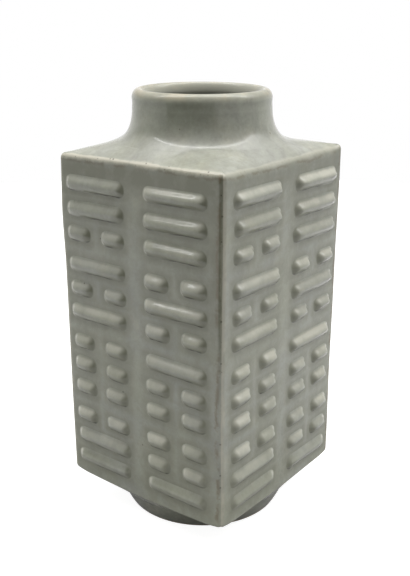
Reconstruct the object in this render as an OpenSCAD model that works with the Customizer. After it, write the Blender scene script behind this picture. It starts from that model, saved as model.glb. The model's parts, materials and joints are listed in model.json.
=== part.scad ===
// Cong vase: a square slab-built body between a round neck and a round foot,
// with the eight trigrams applied to every wall as raised bars.
// Millimetres, +Z up, origin on the ground at the centre of the foot.

/* [Body] */
// Width of the square body across its outer faces
body_w = 127.4; // [122:0.2:170]
// Height of the square body between its lower and upper arris
body_h = 218; // [205:1:300]
// Thickness of the four wall slabs
wall_t = 7; // [5:0.5:10]
// Leg of the clay coil pressed into each inside corner
coil_leg = 8; // [4:0.5:12]
// Flat ledge left round the hollows inside the shoulder and the base
hollow_ledge = 3; // [1:0.5:6]

/* [Shoulder] */
// Thickness of the shoulder slab
shoulder_t = 7; // [5:0.5:10]
// Rise of the shoulder from the upper arris to the root of the neck
shoulder_rise = 8.5; // [4:0.5:14]

/* [Neck] */
// Outside diameter of the neck
neck_d = 88; // [82:1:96]
// Diameter of the mouth
mouth_d = 72; // [50:1:76]
// Height of the neck above its seat on the shoulder
neck_h = 32; // [28:1:60]
// Width of the flare at the root of the neck
neck_flare_w = 10; // [4:0.5:12]
// Radius of the flare's hollow curve
neck_flare_r = 20; // [13:1:30]
// Rounding of the lip's outer edge
lip_outer_r = 3.5; // [1:0.5:6]
// Rounding of the lip's inner edge
lip_inner_r = 4; // [0.5:0.5:5]

/* [Base and foot] */
// Thickness of the base slab
base_t = 8; // [5:0.5:12]
// Fall of the base from the lower arris to the root of the foot
base_drop = 8; // [4:0.5:10]
// Height of the foot ring below its seat on the base
foot_h = 13.5; // [12:0.5:30]
// Outside diameter of the foot ring where it stands
foot_d = 104; // [90:1:106]
// Thickness of the foot ring where it stands
foot_t = 8; // [5:0.5:12]
// Width of the flare at the root of the foot
foot_flare_w = 6.5; // [3:0.5:7]
// Radius of the foot flare's hollow curve
foot_flare_r = 11; // [8:0.5:11]
// Rounding of the foot ring's standing edges
foot_edge_r = 1.5; // [0.5:0.5:2]

/* [Trigram bars] */
// Height of a bar up the wall
bar_w = 10.2; // [7:0.1:11]
// Relief of a bar at its crown
bar_relief = 3.2; // [1.5:0.1:4]
// Relief of a bar at its edge, below the crown
bar_edge_h = 1; // [0.5:0.1:1.2]
// Plan rounding of a bar's corners
bar_corner_r = 3.2; // [1:0.1:3.4]
// Gap in the middle of a broken line
break_gap = 9.5; // [5:0.5:16]
// Gap between the two columns of trigrams
column_gap = 15.5; // [8:0.5:24]
// Margin from the bars to the wall's upright edges
side_margin = 8.5; // [5:0.25:14]
// Margin from the top bar to the upper arris
top_margin = 10.4; // [5:0.2:14]
// Margin from the bottom bar to the lower arris
bottom_margin = 7.6; // [4:0.2:12]
// Gap between one trigram and the next
trigram_gap = 10.4; // [6:0.2:13]
// Sideways drift of the bars on the front wall
front_drift = -2.6; // [-4:0.1:4]
// Sideways drift of the bars on the right wall
right_drift = 1.2; // [-4:0.1:4]

/* [Hidden] */
$fn = 96;

// Walls in turn, a quarter turn about the upright axis apart
SIDES = ["front", "right", "back", "left"];
DRIFT = [front_drift, right_drift, 0, 0];

// Trigrams from the top: first the left column, then the right one.
// Each lists its lines from the top, solid (1) or broken (0).
TRIGRAMS = [
    ["wind", [1, 1, 0]], ["fire", [1, 0, 1]], ["earth", [0, 0, 0]], ["lake", [0, 1, 1]],
    ["heaven", [1, 1, 1]], ["water", [0, 1, 0]], ["mountain", [1, 0, 0]], ["thunder", [0, 0, 1]]
];
rows = 4;
lines = 3;

function wall_name(i) = str(SIDES[i], "_wall");
function coil_name(i) =
    ["front_right_seam_coil", "back_right_seam_coil", "back_left_seam_coil", "front_left_seam_coil"][i];
function trigram_name(i, k) = str(SIDES[i], "_trigram_", TRIGRAMS[k][0]);

// Levels up the vase
foot_seat_z = foot_h;
low_z = foot_seat_z + base_drop;
floor_z = low_z + base_t;
high_z = low_z + body_h;
ceiling_z = high_z - shoulder_t;
neck_seat_z = high_z + shoulder_rise;

// Half widths and radii
half = body_w / 2;
inner_half = half - wall_t;
neck_r = neck_d / 2;
mouth_r = mouth_d / 2;
neck_seat_r = neck_r + neck_flare_w;
foot_r = foot_d / 2;
foot_bore_r = foot_r - foot_t;
foot_seat_r = foot_r + foot_flare_w;

// The hollows inside the shoulder and the base are cones that start at the ledge
hollow_r = inner_half - hollow_ledge;

// The lip's two roundings leave a narrow crest on the neck's wall, however thin it is
neck_t = neck_r - mouth_r;
least_crest_w = 0.5;
inner_share = 0.6;
inner_round = min(lip_inner_r, inner_share * (neck_t - least_crest_w));
outer_round = min(lip_outer_r, neck_t - inner_round - least_crest_w);
crest_w = neck_t - inner_round - outer_round;

// Bars: their length fills the wall's width, and their lines fill its height
bar_l = (body_w - 2 * side_margin - column_gap) / 2;
short_bar_l = (bar_l - break_gap) / 2;
bar_count = rows * lines;
line_gap = (body_h - top_margin - bottom_margin - bar_count * bar_w - (rows - 1) * trigram_gap)
    / (rows * (lines - 1));
line_pitch = bar_w + line_gap;
trigram_pitch = lines * bar_w + (lines - 1) * line_gap + trigram_gap;
crown_fall = bar_relief - bar_edge_h;
crown_r = (pow(bar_w / 2, 2) + pow(crown_fall, 2)) / (2 * crown_fall);

// Length that a cutting shape runs past what it cuts
past = 1;

glaze = "#9a9f90";
shoulder_glaze = "#c3c6b8";
bar_glaze = "#a9ae9f";
clay = "#cbbfa8";

// Dome from a square to a circle: at a share v of the way in, the outline is the
// square's edge drawn towards the circle, and the height is the rise times v to
// the power dome_power, so that it climbs fastest near the square's edge.
dome_sides = 48;
dome_steps = 4;
dome_power = 0.65;

function square_reach(a) = half / max(abs(cos(a)), abs(sin(a)));
function dome_ring(seat_r, rise, v) = [
    for (j = [0:dome_sides - 1])
        let (a = 360 * j / dome_sides, r = square_reach(a) * (1 - v) + seat_r * v)
            [r * cos(a), r * sin(a), rise * pow(v, dome_power)]
];
function inner_ring(thickness) = [
    for (j = [0:dome_sides - 1])
        let (a = 360 * j / dome_sides, r = square_reach(a) * inner_half / half)
            [r * cos(a), r * sin(a), -thickness]
];

// Slab with mitred edges below the square and a dome above it, up to a round seat.
// Both ends are closed by triangles round a middle point.
module domed_slab(thickness, rise, seat_r) {
    rings = concat(
        [inner_ring(thickness)],
        [for (i = [0:dome_steps]) dome_ring(seat_r, rise, i / dome_steps)]
    );
    n = dome_sides;
    last = len(rings) - 1;
    low_middle = len(rings) * n;
    high_middle = low_middle + 1;
    polyhedron(
        points = concat([for (ring = rings) each ring], [[0, 0, -thickness], [0, 0, rise]]),
        faces = concat(
            [for (j = [0:n - 1]) [low_middle, j, (j + 1) % n]],
            [for (i = [0:last - 1], j = [0:n - 1])
                [i * n + j, (i + 1) * n + j, (i + 1) * n + (j + 1) % n]],
            [for (i = [0:last - 1], j = [0:n - 1])
                [i * n + j, (i + 1) * n + (j + 1) % n, i * n + (j + 1) % n]],
            [for (j = [0:n - 1]) [high_middle, last * n + (j + 1) % n, last * n + j]]
        )
    );
}

// Places a child on wall i: x runs to the right along the wall, y up it and z out of it
module on_wall(i) {
    rotate([0, 0, 90 * i]) translate([0, -half, 0]) rotate([90, 0, 0]) children();
}

// Upright slab, mitred to its neighbours, to the base and to the shoulder
module wall(i) {
    color(glaze) on_wall(i) intersection() {
        translate([0, high_z + past, 0]) rotate([90, 0, 0]) linear_extrude(body_h + 2 * past)
            polygon([[-half, 0], [half, 0], [inner_half, -wall_t], [-inner_half, -wall_t]]);
        translate([-half - past, 0, 0]) rotate([90, 0, 90]) linear_extrude(body_w + 2 * past)
            polygon([[low_z, 0], [high_z, 0], [ceiling_z, -wall_t], [floor_z, -wall_t]]);
    }
}

// Quarter of a disc, in the corner that the two signs point to
module quarter_disc(r, x_sign, y_sign) {
    intersection() {
        circle(r);
        translate([min(0, x_sign * (r + past)), min(0, y_sign * (r + past))]) square(r + past);
    }
}

// Top slab: a domed square with a round hole, hollowed to a cone below
module shoulder() {
    color(shoulder_glaze) translate([0, 0, high_z]) difference() {
        domed_slab(shoulder_t, shoulder_rise, neck_seat_r);
        translate([0, 0, -shoulder_t - past])
            cylinder(h = shoulder_t + shoulder_rise + 2 * past, r = mouth_r);
        translate([0, 0, -shoulder_t]) cylinder(h = shoulder_rise, r1 = hollow_r, r2 = mouth_r);
    }
}

// Hollow curve at the root of a ring: at the seat the flare is flare_w wide
module flare(ring_r, flare_w, flare_r) {
    centre_h = sqrt(pow(flare_r, 2) - pow(flare_r - flare_w, 2));
    difference() {
        translate([ring_r - past, 0]) square([flare_w + 2 * past, centre_h]);
        translate([ring_r + flare_r, centre_h]) circle(flare_r);
    }
}

// Thrown neck: flared root, straight wall and rounded lip
module neck() {
    outer_z = neck_h - outer_round;
    inner_z = neck_h - inner_round;
    crest_r = mouth_r + inner_round;
    color(glaze) translate([0, 0, neck_seat_z]) rotate_extrude() {
        translate([mouth_r, 0]) square([neck_t, outer_z]);
        flare(neck_r, neck_flare_w, neck_flare_r);
        translate([mouth_r, 0]) square([inner_round + crest_w, inner_z]);
        translate([crest_r, 0]) square([crest_w, neck_h]);
        translate([crest_r + crest_w, outer_z]) quarter_disc(outer_round, 1, 1);
        translate([crest_r, inner_z]) quarter_disc(inner_round, -1, 1);
    }
}

// Bottom slab: the shoulder's form upside down, closed, with a dished floor
module base() {
    color(glaze) translate([0, 0, low_z]) rotate([180, 0, 0]) difference() {
        domed_slab(base_t, base_drop, foot_seat_r);
        translate([0, 0, -base_t]) cylinder(h = base_drop, r1 = hollow_r, r2 = foot_bore_r);
    }
}

// Thrown foot ring: flared root above, rounded standing edges below
module foot_ring() {
    color(glaze) rotate_extrude() {
        translate([foot_bore_r, foot_edge_r]) square([foot_t, foot_h - foot_edge_r]);
        translate([foot_bore_r + foot_edge_r, 0]) square([foot_t - 2 * foot_edge_r, foot_edge_r]);
        translate([foot_r - foot_edge_r, foot_edge_r]) quarter_disc(foot_edge_r, 1, -1);
        translate([foot_bore_r + foot_edge_r, foot_edge_r]) quarter_disc(foot_edge_r, -1, -1);
        translate([0, foot_h]) mirror([0, 1]) flare(foot_r, foot_flare_w, foot_flare_r);
    }
}

// Clay coil pressed hollow into the inside corner to the right of wall i
module seam_coil(i) {
    color(clay) rotate([0, 0, 90 * i]) translate([inner_half, -inner_half, floor_z])
        linear_extrude(ceiling_z - floor_z) difference() {
            translate([-coil_leg, 0]) square(coil_leg);
            translate([-coil_leg, coil_leg]) circle(coil_leg);
        }
}

// One applied bar: a rounded plan under a crown that runs along the bar
module bar(length) {
    intersection() {
        linear_extrude(bar_relief + past) {
            square([length, bar_w - 2 * bar_corner_r], center = true);
            square([length - 2 * bar_corner_r, bar_w], center = true);
            for (x = [-1, 1], y = [-1, 1])
                translate([x * (length / 2 - bar_corner_r), y * (bar_w / 2 - bar_corner_r)])
                    circle(bar_corner_r);
        }
        translate([-length / 2 - past, 0, bar_relief - crown_r]) rotate([0, 90, 0])
            cylinder(h = length + 2 * past, r = crown_r);
    }
}

// One line of a trigram: a solid bar, or two short ones with a gap between them
module trigram_line(solid) {
    if (solid)
        bar(bar_l);
    else
        for (x = [-1, 1])
            translate([x * (break_gap + short_bar_l) / 2, 0, 0]) bar(short_bar_l);
}

// Trigram k on wall i, as separate bars that lie flat on the wall
module trigram(i, k) {
    column = floor(k / rows);
    row = k % rows;
    x = DRIFT[i] + (column - 0.5) * (bar_l + column_gap);
    top = high_z - top_margin - bar_w / 2 - row * trigram_pitch;
    color(bar_glaze) on_wall(i)
        for (j = [0:lines - 1])
            translate([x, top - j * line_pitch, 0]) trigram_line(TRIGRAMS[k][1][j] == 1);
}

for (i = [0:3])
    wall(i);
shoulder();
neck();
base();
foot_ring();
for (i = [0:3])
    seam_coil(i);
for (i = [0:3], k = [0:len(TRIGRAMS) - 1])
    trigram(i, k);
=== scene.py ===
"""A square cong vase with a round neck and foot and the eight trigrams in relief, under a celadon glaze."""
import json
import math

import bmesh
import bpy
import numpy as np
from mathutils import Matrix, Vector


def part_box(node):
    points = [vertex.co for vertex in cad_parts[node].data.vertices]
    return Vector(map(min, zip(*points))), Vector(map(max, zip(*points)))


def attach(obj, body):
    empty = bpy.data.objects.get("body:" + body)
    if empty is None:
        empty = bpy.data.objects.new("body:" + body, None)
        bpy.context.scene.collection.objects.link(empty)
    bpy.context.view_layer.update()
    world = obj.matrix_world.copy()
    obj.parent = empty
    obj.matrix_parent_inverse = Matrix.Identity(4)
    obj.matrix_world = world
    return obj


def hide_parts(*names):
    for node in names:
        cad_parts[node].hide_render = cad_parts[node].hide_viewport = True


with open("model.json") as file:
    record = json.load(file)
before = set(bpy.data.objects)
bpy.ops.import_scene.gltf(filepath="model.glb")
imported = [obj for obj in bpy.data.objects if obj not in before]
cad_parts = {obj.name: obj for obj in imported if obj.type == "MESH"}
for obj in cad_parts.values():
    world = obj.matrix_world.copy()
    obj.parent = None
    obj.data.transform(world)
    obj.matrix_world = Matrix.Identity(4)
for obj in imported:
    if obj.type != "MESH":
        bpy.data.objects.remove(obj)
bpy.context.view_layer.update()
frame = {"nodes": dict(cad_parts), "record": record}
scene = bpy.context.scene

MM = 0.001
rng = np.random.default_rng(11)

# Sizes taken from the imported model, in metres
wall_low, wall_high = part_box("front_wall")
HALF = wall_high.x
LOW_Z = wall_low.z
HIGH_Z = wall_high.z
INNER_HALF = -wall_high.y
CEILING_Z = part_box("shoulder")[0].z
FLOOR_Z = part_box("base")[1].z
NECK_SEAT_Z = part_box("neck")[0].z
NECK_SEAT_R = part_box("neck")[1].x
RIM_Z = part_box("neck")[1].z
FOOT_SEAT_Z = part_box("foot_ring")[1].z
FOOT_SEAT_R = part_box("foot_ring")[1].x
BASE_DROP = LOW_Z - FOOT_SEAT_Z
mouth = next(m for m in frame["record"]["mounts"] if m["name"] == "mouth")
MOUTH_R = mouth["dims"]["r_mm"] * MM

# Hand-made softness of the body: front, right, back and left side, or the corner before each of them
CORNER_R = np.array([2.2, 3.5, 2.5, 2.4]) * MM
CORNER_LIFT = np.array([1.7, 2.5, 3.7, 2.4]) * MM
CORNER_ARRIS_R = np.array([3.6, 4.0, 3.0, 3.2]) * MM
CORNER_DROP = np.array([0.7, 0.3, 0.2, 0.4]) * MM
TOP_ARRIS_R = np.array([3.3, 7.0, 3.4, 3.3]) * MM
LOW_ARRIS_R = np.array([1.4, 1.4, 1.6, 1.6]) * MM
TOP_WAVE = np.array([0.3, -0.2, 0.4, -0.3]) * MM
LOW_SAG = np.array([1.8, 1.4, 1.6, 1.6]) * MM
WORN = np.array([1.0, 0.4, 0.7, 0.7])
CORNER_SHARE = 0.10
SIDES = ("front", "right", "back", "left")
FRONT_CORNER = np.array([1, -1]) / math.sqrt(2)

# Hand wobble, in millimetres: waves, a bulge at the front left corner and the lean of the back right one
SLOW_WAVE = 0.15
SLANT_WAVE = 0.08
CROSS_WAVE = 0.10
BULGE = 0.77
BULGE_Z = 203 * MM
BULGE_H = 25 * MM
BULGE_W = 30 * MM
LEAN_OUT = 0.45
STILL_H = 25 * MM
ASIDE_H = 18 * MM

# Neck and foot
NECK_R = 43.9 * MM
NECK_FLARE_W = 12.8 * MM
NECK_FLARE_H = 20.3 * MM
NECK_FLARE_POWER = 2.15
NECK_TOP_OF_FLARE = 268 * MM
NECK_WAIST = 0.2 * MM
NECK_SHIFT = np.array([-0.32, -0.26]) * MM
DOME_SWELL = 0.7
ROOT_DIP = 0.5 * MM
ROOT_FILL = 0.9 * MM
FILL_START = 2.0 * MM
FILL_STEEP = 5.38
LIP_OUTER_W = 4.5 * MM
LIP_OUTER_H = 6.0 * MM
LIP_INNER_H = 8.0 * MM
RIM_DIP = 1.2 * MM
FOOT_R = 52.3 * MM
FOOT_BORE_R = 44 * MM
FOOT_EDGE_R = 0.9 * MM
FOOT_POWER = 0.85
DISC_HOLLOW = 0.8 * MM
BORE_ROWS = 4
FAR_MM = 99.0

# Bars
BAR_W = 10.2 * MM
BAR_GAP = 9.5 * MM
BAR_CREST = 3.6 * MM
BAR_TRIM = 0.45 * MM
BAR_END_REACH = 5.7 * MM
BAR_END_FOOT = 0.8 * MM
BAR_END_TAPER = 0.42
BAR_RIDGE = 0.40
BAR_KNEE = 0.72
BAR_SINK = 0.06 * MM
BAR_ROOT = 0.8 * MM
FLAT_TOP_LEFT = np.array([0.45, 0.0, 0.2, 0.2])
FLAT_LOW = 0.42
FLAT_LOW_SHARE = 0.12
# Glaze pooling with painted shade round the bars; painted shade under the arris and by the front corner
POOL_AND_SHADE_W = 3.8 * MM
SHADE_UNDER_ARRIS = np.array([1.3, 0.7, 0.9, 0.9])
SHADE_BAND_AT = 7 * MM
SHADE_BAND_W = 9 * MM
SHADE_CORNER_W = 11 * MM
SHADE_CORNER_Z = 90 * MM
SHADE_CORNER_H = 80 * MM
SHADE_CORNER = 1.5
# Bars painted pale above, thinner glaze and painted highlight: share per wall, loss, crescent end, strength
BAR_HIGHLIGHT = np.array([1.25, 1.5, 1.2, 1.2])
BAR_HIGHLIGHT_LOSS = 2.5
HIGHLIGHT_END = np.array([-1, 1, -1, 1])
CRESCENT_HIGHLIGHT = 1.25
CREVICE_AT = 0.96
CREVICE_W = 0.12
TRIGRAMS = {
    "wind": "SSB",
    "fire": "SBS",
    "earth": "BBB",
    "lake": "BSS",
    "heaven": "SSS",
    "water": "BSB",
    "mountain": "SBB",
    "thunder": "BBS",
}

# How far up the bars stray on each wall, in millimetres: top left, top right, bottom left and bottom right
STRAY_UP = np.array([
    [-1.3, -0.4, -0.1, 0.8],
    [0.4, 0.9, -0.3, -0.2],
    [0.3, -0.4, 0.2, 0.4],
    [-0.3, 0.3, 0.5, 0.0],
])

# How much the hand varies each bar
VARY_ALONG = 0.3 * MM
VARY_UP = 0.25 * MM
VARY_LENGTH = 0.25 * MM
VARY_WIDTH = 0.12 * MM
VARY_RELIEF = 0.10 * MM
VARY_TILT = 0.006


def ease(s):
    """A smooth step from 0 to 1."""
    s = np.clip(s, 0, 1)
    return s * s * (3 - 2 * s)


def hand_wobble(p):
    """Moves points by sums of long sine waves in x, y and z, none at the ground. The front left corner
    bulges in a bell below its top, the back right one leans out by a fourth power, the neck stands a little
    to one side, and the rim dips evenly towards the front corner."""
    x, y, z = p[..., 0], p[..., 1], p[..., 2]
    turn = 2 * math.pi
    keep = np.clip(z / STILL_H, 0, 1) * MM
    dx = SLOW_WAVE * np.sin(turn * z / 0.19 + 0.6)
    dy = SLOW_WAVE * np.sin(turn * z / 0.23 + 2.1)
    dx = dx + SLANT_WAVE * np.sin(turn * (z + 0.6 * y) / 0.083 + 1.9)
    dy = dy + SLANT_WAVE * np.sin(turn * (z - 0.7 * x) / 0.097 + 0.4)
    dx = dx + CROSS_WAVE * np.sin(turn * y / 0.061 + 0.9) * np.sin(turn * z / 0.107 + 0.3)
    dy = dy + CROSS_WAVE * np.sin(turn * x / 0.067 + 0.2) * np.sin(turn * z / 0.101 + 1.3)
    dz = CROSS_WAVE * np.sin(turn * (x + y) / 0.17 + 1.1)
    lean = (x * FRONT_CORNER[0] + y * FRONT_CORNER[1]) / NECK_R
    up = np.clip((z - NECK_TOP_OF_FLARE) / (RIM_Z - NECK_TOP_OF_FLARE), 0, 1)
    dip = 0.5 * RIM_DIP * (1 + lean) * up
    from_corner = ((x + HALF) / BULGE_W) ** 2 + ((y + HALF) / BULGE_W) ** 2
    bulge = BULGE * np.exp(-(((z - BULGE_Z) / BULGE_H) ** 2) - from_corner)
    lean_out = LEAN_OUT * np.clip(0.5 * (x + y) / HALF, 0, 1) ** 4 * np.clip(z / HIGH_Z, 0, 1)
    aside = np.clip((z - HIGH_Z) / ASIDE_H, 0, 1)
    dx = (dx - bulge + lean_out) * keep + NECK_SHIFT[0] * aside
    dy = (dy - bulge + lean_out) * keep + NECK_SHIFT[1] * aside
    return p + np.stack([dx, dy, dz * keep - dip], -1)


def grid_quads(rows, columns, wrap_columns=False, wrap_rows=False):
    """Quads of a grid of points, anticlockwise for columns that run right and rows that run up."""
    r = np.arange(rows if wrap_rows else rows - 1)
    c = np.arange(columns if wrap_columns else columns - 1)
    r, c = np.meshgrid(r, c, indexing="ij")
    r2 = (r + 1) % rows
    c2 = (c + 1) % columns
    quads = np.stack([r * columns + c, r * columns + c2, r2 * columns + c2, r2 * columns + c], -1)
    return quads.reshape(-1, 4)


def make_piece(name, points, quads, values=None, crease=40, merge=False):
    """A mesh object from arrays of points and quads, smooth but for edges sharper than crease."""
    mesh = bpy.data.meshes.new(name)
    mesh.vertices.add(len(points))
    mesh.vertices.foreach_set("co", points.astype(np.float32).ravel())
    mesh.loops.add(quads.size)
    mesh.loops.foreach_set("vertex_index", quads.astype(np.int32).ravel())
    mesh.polygons.add(len(quads))
    mesh.polygons.foreach_set("loop_start", np.arange(0, quads.size, 4, dtype=np.int32))
    mesh.update(calc_edges=True)
    for key, value in (values or {}).items():
        layer = mesh.attributes.new(key, "FLOAT", "POINT")
        layer.data.foreach_set("value", np.asarray(value, np.float32).ravel())
    if merge:
        work = bmesh.new()
        work.from_mesh(mesh)
        bmesh.ops.remove_doubles(work, verts=work.verts, dist=0.002 * MM)
        work.to_mesh(mesh)
        work.free()
    mesh.validate()
    mesh.polygons.foreach_set("use_smooth", np.ones(len(mesh.polygons), bool))
    mesh.set_sharp_from_angle(angle=math.radians(crease))
    piece = bpy.data.objects.new(name, mesh)
    scene.collection.objects.link(piece)
    return piece


def closed_slab(outer, inner, ring=False):
    """Points and quads of a slab between two skins, grids of equal shape: the outer skin, the inner one
    turned round, and a rim of quads that joins their borders. The columns of a ring close on themselves."""
    rows, columns = outer.shape[:2]
    count = rows * columns
    face = grid_quads(rows, columns, ring)
    index = np.arange(count).reshape(rows, columns)
    if ring:
        loops = [np.append(index[0], index[0, 0])[::-1], np.append(index[-1], index[-1, 0])]
    else:
        border = np.concatenate([index[0, :-1], index[:-1, -1], index[-1, :0:-1], index[:0:-1, 0]])
        loops = [np.append(border, border[0])[::-1]]
    quads = [face, face[:, ::-1] + count]
    for loop in loops:
        quads.append(np.stack([loop[:-1], loop[1:], loop[1:] + count, loop[:-1] + count], -1))
    points = np.concatenate([outer.reshape(-1, 3), inner.reshape(-1, 3)])
    return points, np.concatenate(quads)


def shell(name, outer, inner, values=None, ring=False, merge=False):
    """A piece that is one slab between two skins. Its inner skin has no glaze pools or painted shade and is
    far from any edge.
    """
    points, quads = closed_slab(outer, inner, ring)
    far = np.full(outer.shape[0] * outer.shape[1], FAR_MM)
    both = {}
    for key, value in (values or {}).items():
        within = 0 * far if key == "pool_and_shade" else far
        both[key] = np.concatenate([value.ravel(), within])
    return make_piece(name, hand_wobble(points), quads, both, merge=merge)


ARC = np.radians([0, 8, 16, 24, 32, 38, 43.5, 45])
RUN_STEPS = 104
FACE_STEPS = 140
FACE_CROWD = 0.35


def side_axes(k):
    """The directions out of side k and along it to the right."""
    facing = math.radians(90 * k - 90)
    out = np.array([math.cos(facing), math.sin(facing), 0])
    return out, np.array([-math.sin(facing), math.cos(facing), 0])


def side_outline(k):
    """One side of the rounded square, from the middle of its first corner to the middle of the next: an
    eighth arc, a straight run and an eighth arc. Gives points, outward normals and the length along it."""
    first, last = CORNER_R[k], CORNER_R[(k + 1) % 4]
    back = ARC[::-1]
    run = np.linspace(first - HALF, HALF - last, RUN_STEPS + 1)[1:-1]
    turn = np.concatenate([-back, run * 0, ARC])
    t = np.concatenate([first - HALF - first * np.sin(back), run, HALF - last + last * np.sin(ARC)])
    n = HALF - np.concatenate([first * (1 - np.cos(back)), run * 0, last * (1 - np.cos(ARC))])
    out, along = (axis[:2] for axis in side_axes(k))
    points = n[:, None] * out + t[:, None] * along
    normals = np.cos(turn)[:, None] * out + np.sin(turn)[:, None] * along
    length = np.concatenate([[0], np.cumsum(np.hypot(np.diff(t), np.diff(n)))])
    return points, normals, length


def to_corners(share, first, middle, last):
    """A value along a side that is middle, and near each end goes over in a parabola to the corner's."""
    corner = np.where(share < 0.5, first, last)
    near = np.clip(1 - np.minimum(share, 1 - share) / CORNER_SHARE, 0, 1)
    return middle + (corner - middle) * near**2


def edge_lines(k, share):
    """Height and rounding of the upper and lower arris along side k: eased from the height at one corner to
    that at the next, with one slow wave above and a sag below."""
    after = (k + 1) % 4
    lift = CORNER_LIFT[k] + (CORNER_LIFT[after] - CORNER_LIFT[k]) * ease(share)
    drop = CORNER_DROP[k] + (CORNER_DROP[after] - CORNER_DROP[k]) * ease(share)
    top_z = HIGH_Z + lift + TOP_WAVE[k] * np.sin(2 * math.pi * share**1.3)
    low_z = LOW_Z - drop - LOW_SAG[k] * 4 * share * (1 - share)
    top_r = to_corners(share, CORNER_ARRIS_R[k], TOP_ARRIS_R[k], CORNER_ARRIS_R[after])
    low_r = to_corners(share, CORNER_ARRIS_R[k], LOW_ARRIS_R[k], CORNER_ARRIS_R[after])
    return top_z, top_r, low_z, low_r


def wear_along(k, share):
    """How worn the upper arris is along side k: its own wear, meeting its neighbours' at the corners."""
    before = 0.5 * (WORN[k] + WORN[k - 1])
    after = 0.5 * (WORN[k] + WORN[(k + 1) % 4])
    return to_corners(share, before, WORN[k], after)


def offset_rows(points, normals, inset, z):
    """Rows of points: the outline moved in along its normals by inset at height z, both (rows, columns)."""
    plan = points[None] - inset[..., None] * normals[None]
    return np.concatenate([plan, z[..., None]], -1)


def path_up(rows):
    """The length of the way up each column of a grid of points, from its first row."""
    step = np.linalg.norm(np.diff(rows, axis=0), axis=-1)
    return np.concatenate([0 * step[:1], np.cumsum(step, 0)])


def inner_side(k, share):
    """Points along one side of the square inside the walls."""
    out, along = (axis[:2] for axis in side_axes(k))
    return INNER_HALF * (out + (2 * share - 1)[:, None] * along)


def build_wall(k):
    """A wall slab: the outline of its side carried up from the lower mitre, round the lower arris, up the
    face and round the upper arris to the upper mitre, with a flat inner skin."""
    points, normals, length = side_outline(k)
    share = length / length[-1]
    top_z, top_r, low_z, low_r = edge_lines(k, share)
    phi = ARC[:, None]
    low_in = low_r * (1 - np.cos(phi[::-1]))
    low_up = low_z + low_r * (1 - np.sin(phi[::-1]))
    top_in = top_r * (1 - np.cos(phi))
    top_up = top_z - top_r * (1 - np.sin(phi))
    way = np.linspace(-1, 1, FACE_STEPS)[1:-1, None]
    crowded = FACE_CROWD * np.sin(0.5 * math.pi * way) + (1 - FACE_CROWD) * way
    face_up = low_up[-1] + (0.5 + 0.5 * crowded) * (top_up[0] - low_up[-1])
    inset = np.concatenate([low_in, face_up * 0, top_in])
    z = np.concatenate([low_up, face_up, top_up])
    outer = offset_rows(points, normals, inset, z)
    climb = path_up(outer)
    level = np.linspace(FLOOR_Z, CEILING_Z, len(z))[:, None] + 0 * share
    plan = np.broadcast_to(inner_side(k, share), (len(z), len(share), 2))
    inner = np.concatenate([plan, level[..., None]], -1)
    along = side_axes(k)[1]
    values = {
        # Glaze pooling and painted shade round the bars, under the arris and by the front corner
        "pool_and_shade": pool_and_shade_mask(k, outer @ along, outer[..., 2]),
        "arris_mm": (climb[-1] - climb) / MM,
        "start_mm": np.broadcast_to(length, climb.shape) / MM,
        "end_mm": np.broadcast_to(length[-1] - length, climb.shape) / MM,
        "worn": np.broadcast_to(wear_along(k, share), climb.shape),
    }
    return shell(SIDES[k] + "_wall", outer, inner, values)


def body_loop():
    """The whole rounded square once round, in columns: points, normals, the four arris lines, the matching
    points of the inner square and the wear."""
    parts = []
    for k in range(4):
        points, normals, length = side_outline(k)
        share = length / length[-1]
        lines = np.stack(edge_lines(k, share), -1)
        worn = wear_along(k, share)[:, None]
        parts.append(np.concatenate([points, normals, lines, inner_side(k, share), worn], -1)[:-1])
    return np.concatenate(parts)


def turn_average(turn, value, width):
    """A value on the loop averaged over the angle with a bell of that many degrees."""
    apart = np.abs(turn[:, None] - turn[None])
    apart = np.minimum(apart, 2 * math.pi - apart)
    step = np.abs(np.angle(np.exp(1j * (np.roll(turn, -1) - np.roll(turn, 1)))))
    weight = np.exp(-0.5 * (apart / math.radians(width)) ** 2) * step[None]
    return (weight * value[None]).sum(1) / weight.sum(1)


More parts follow.
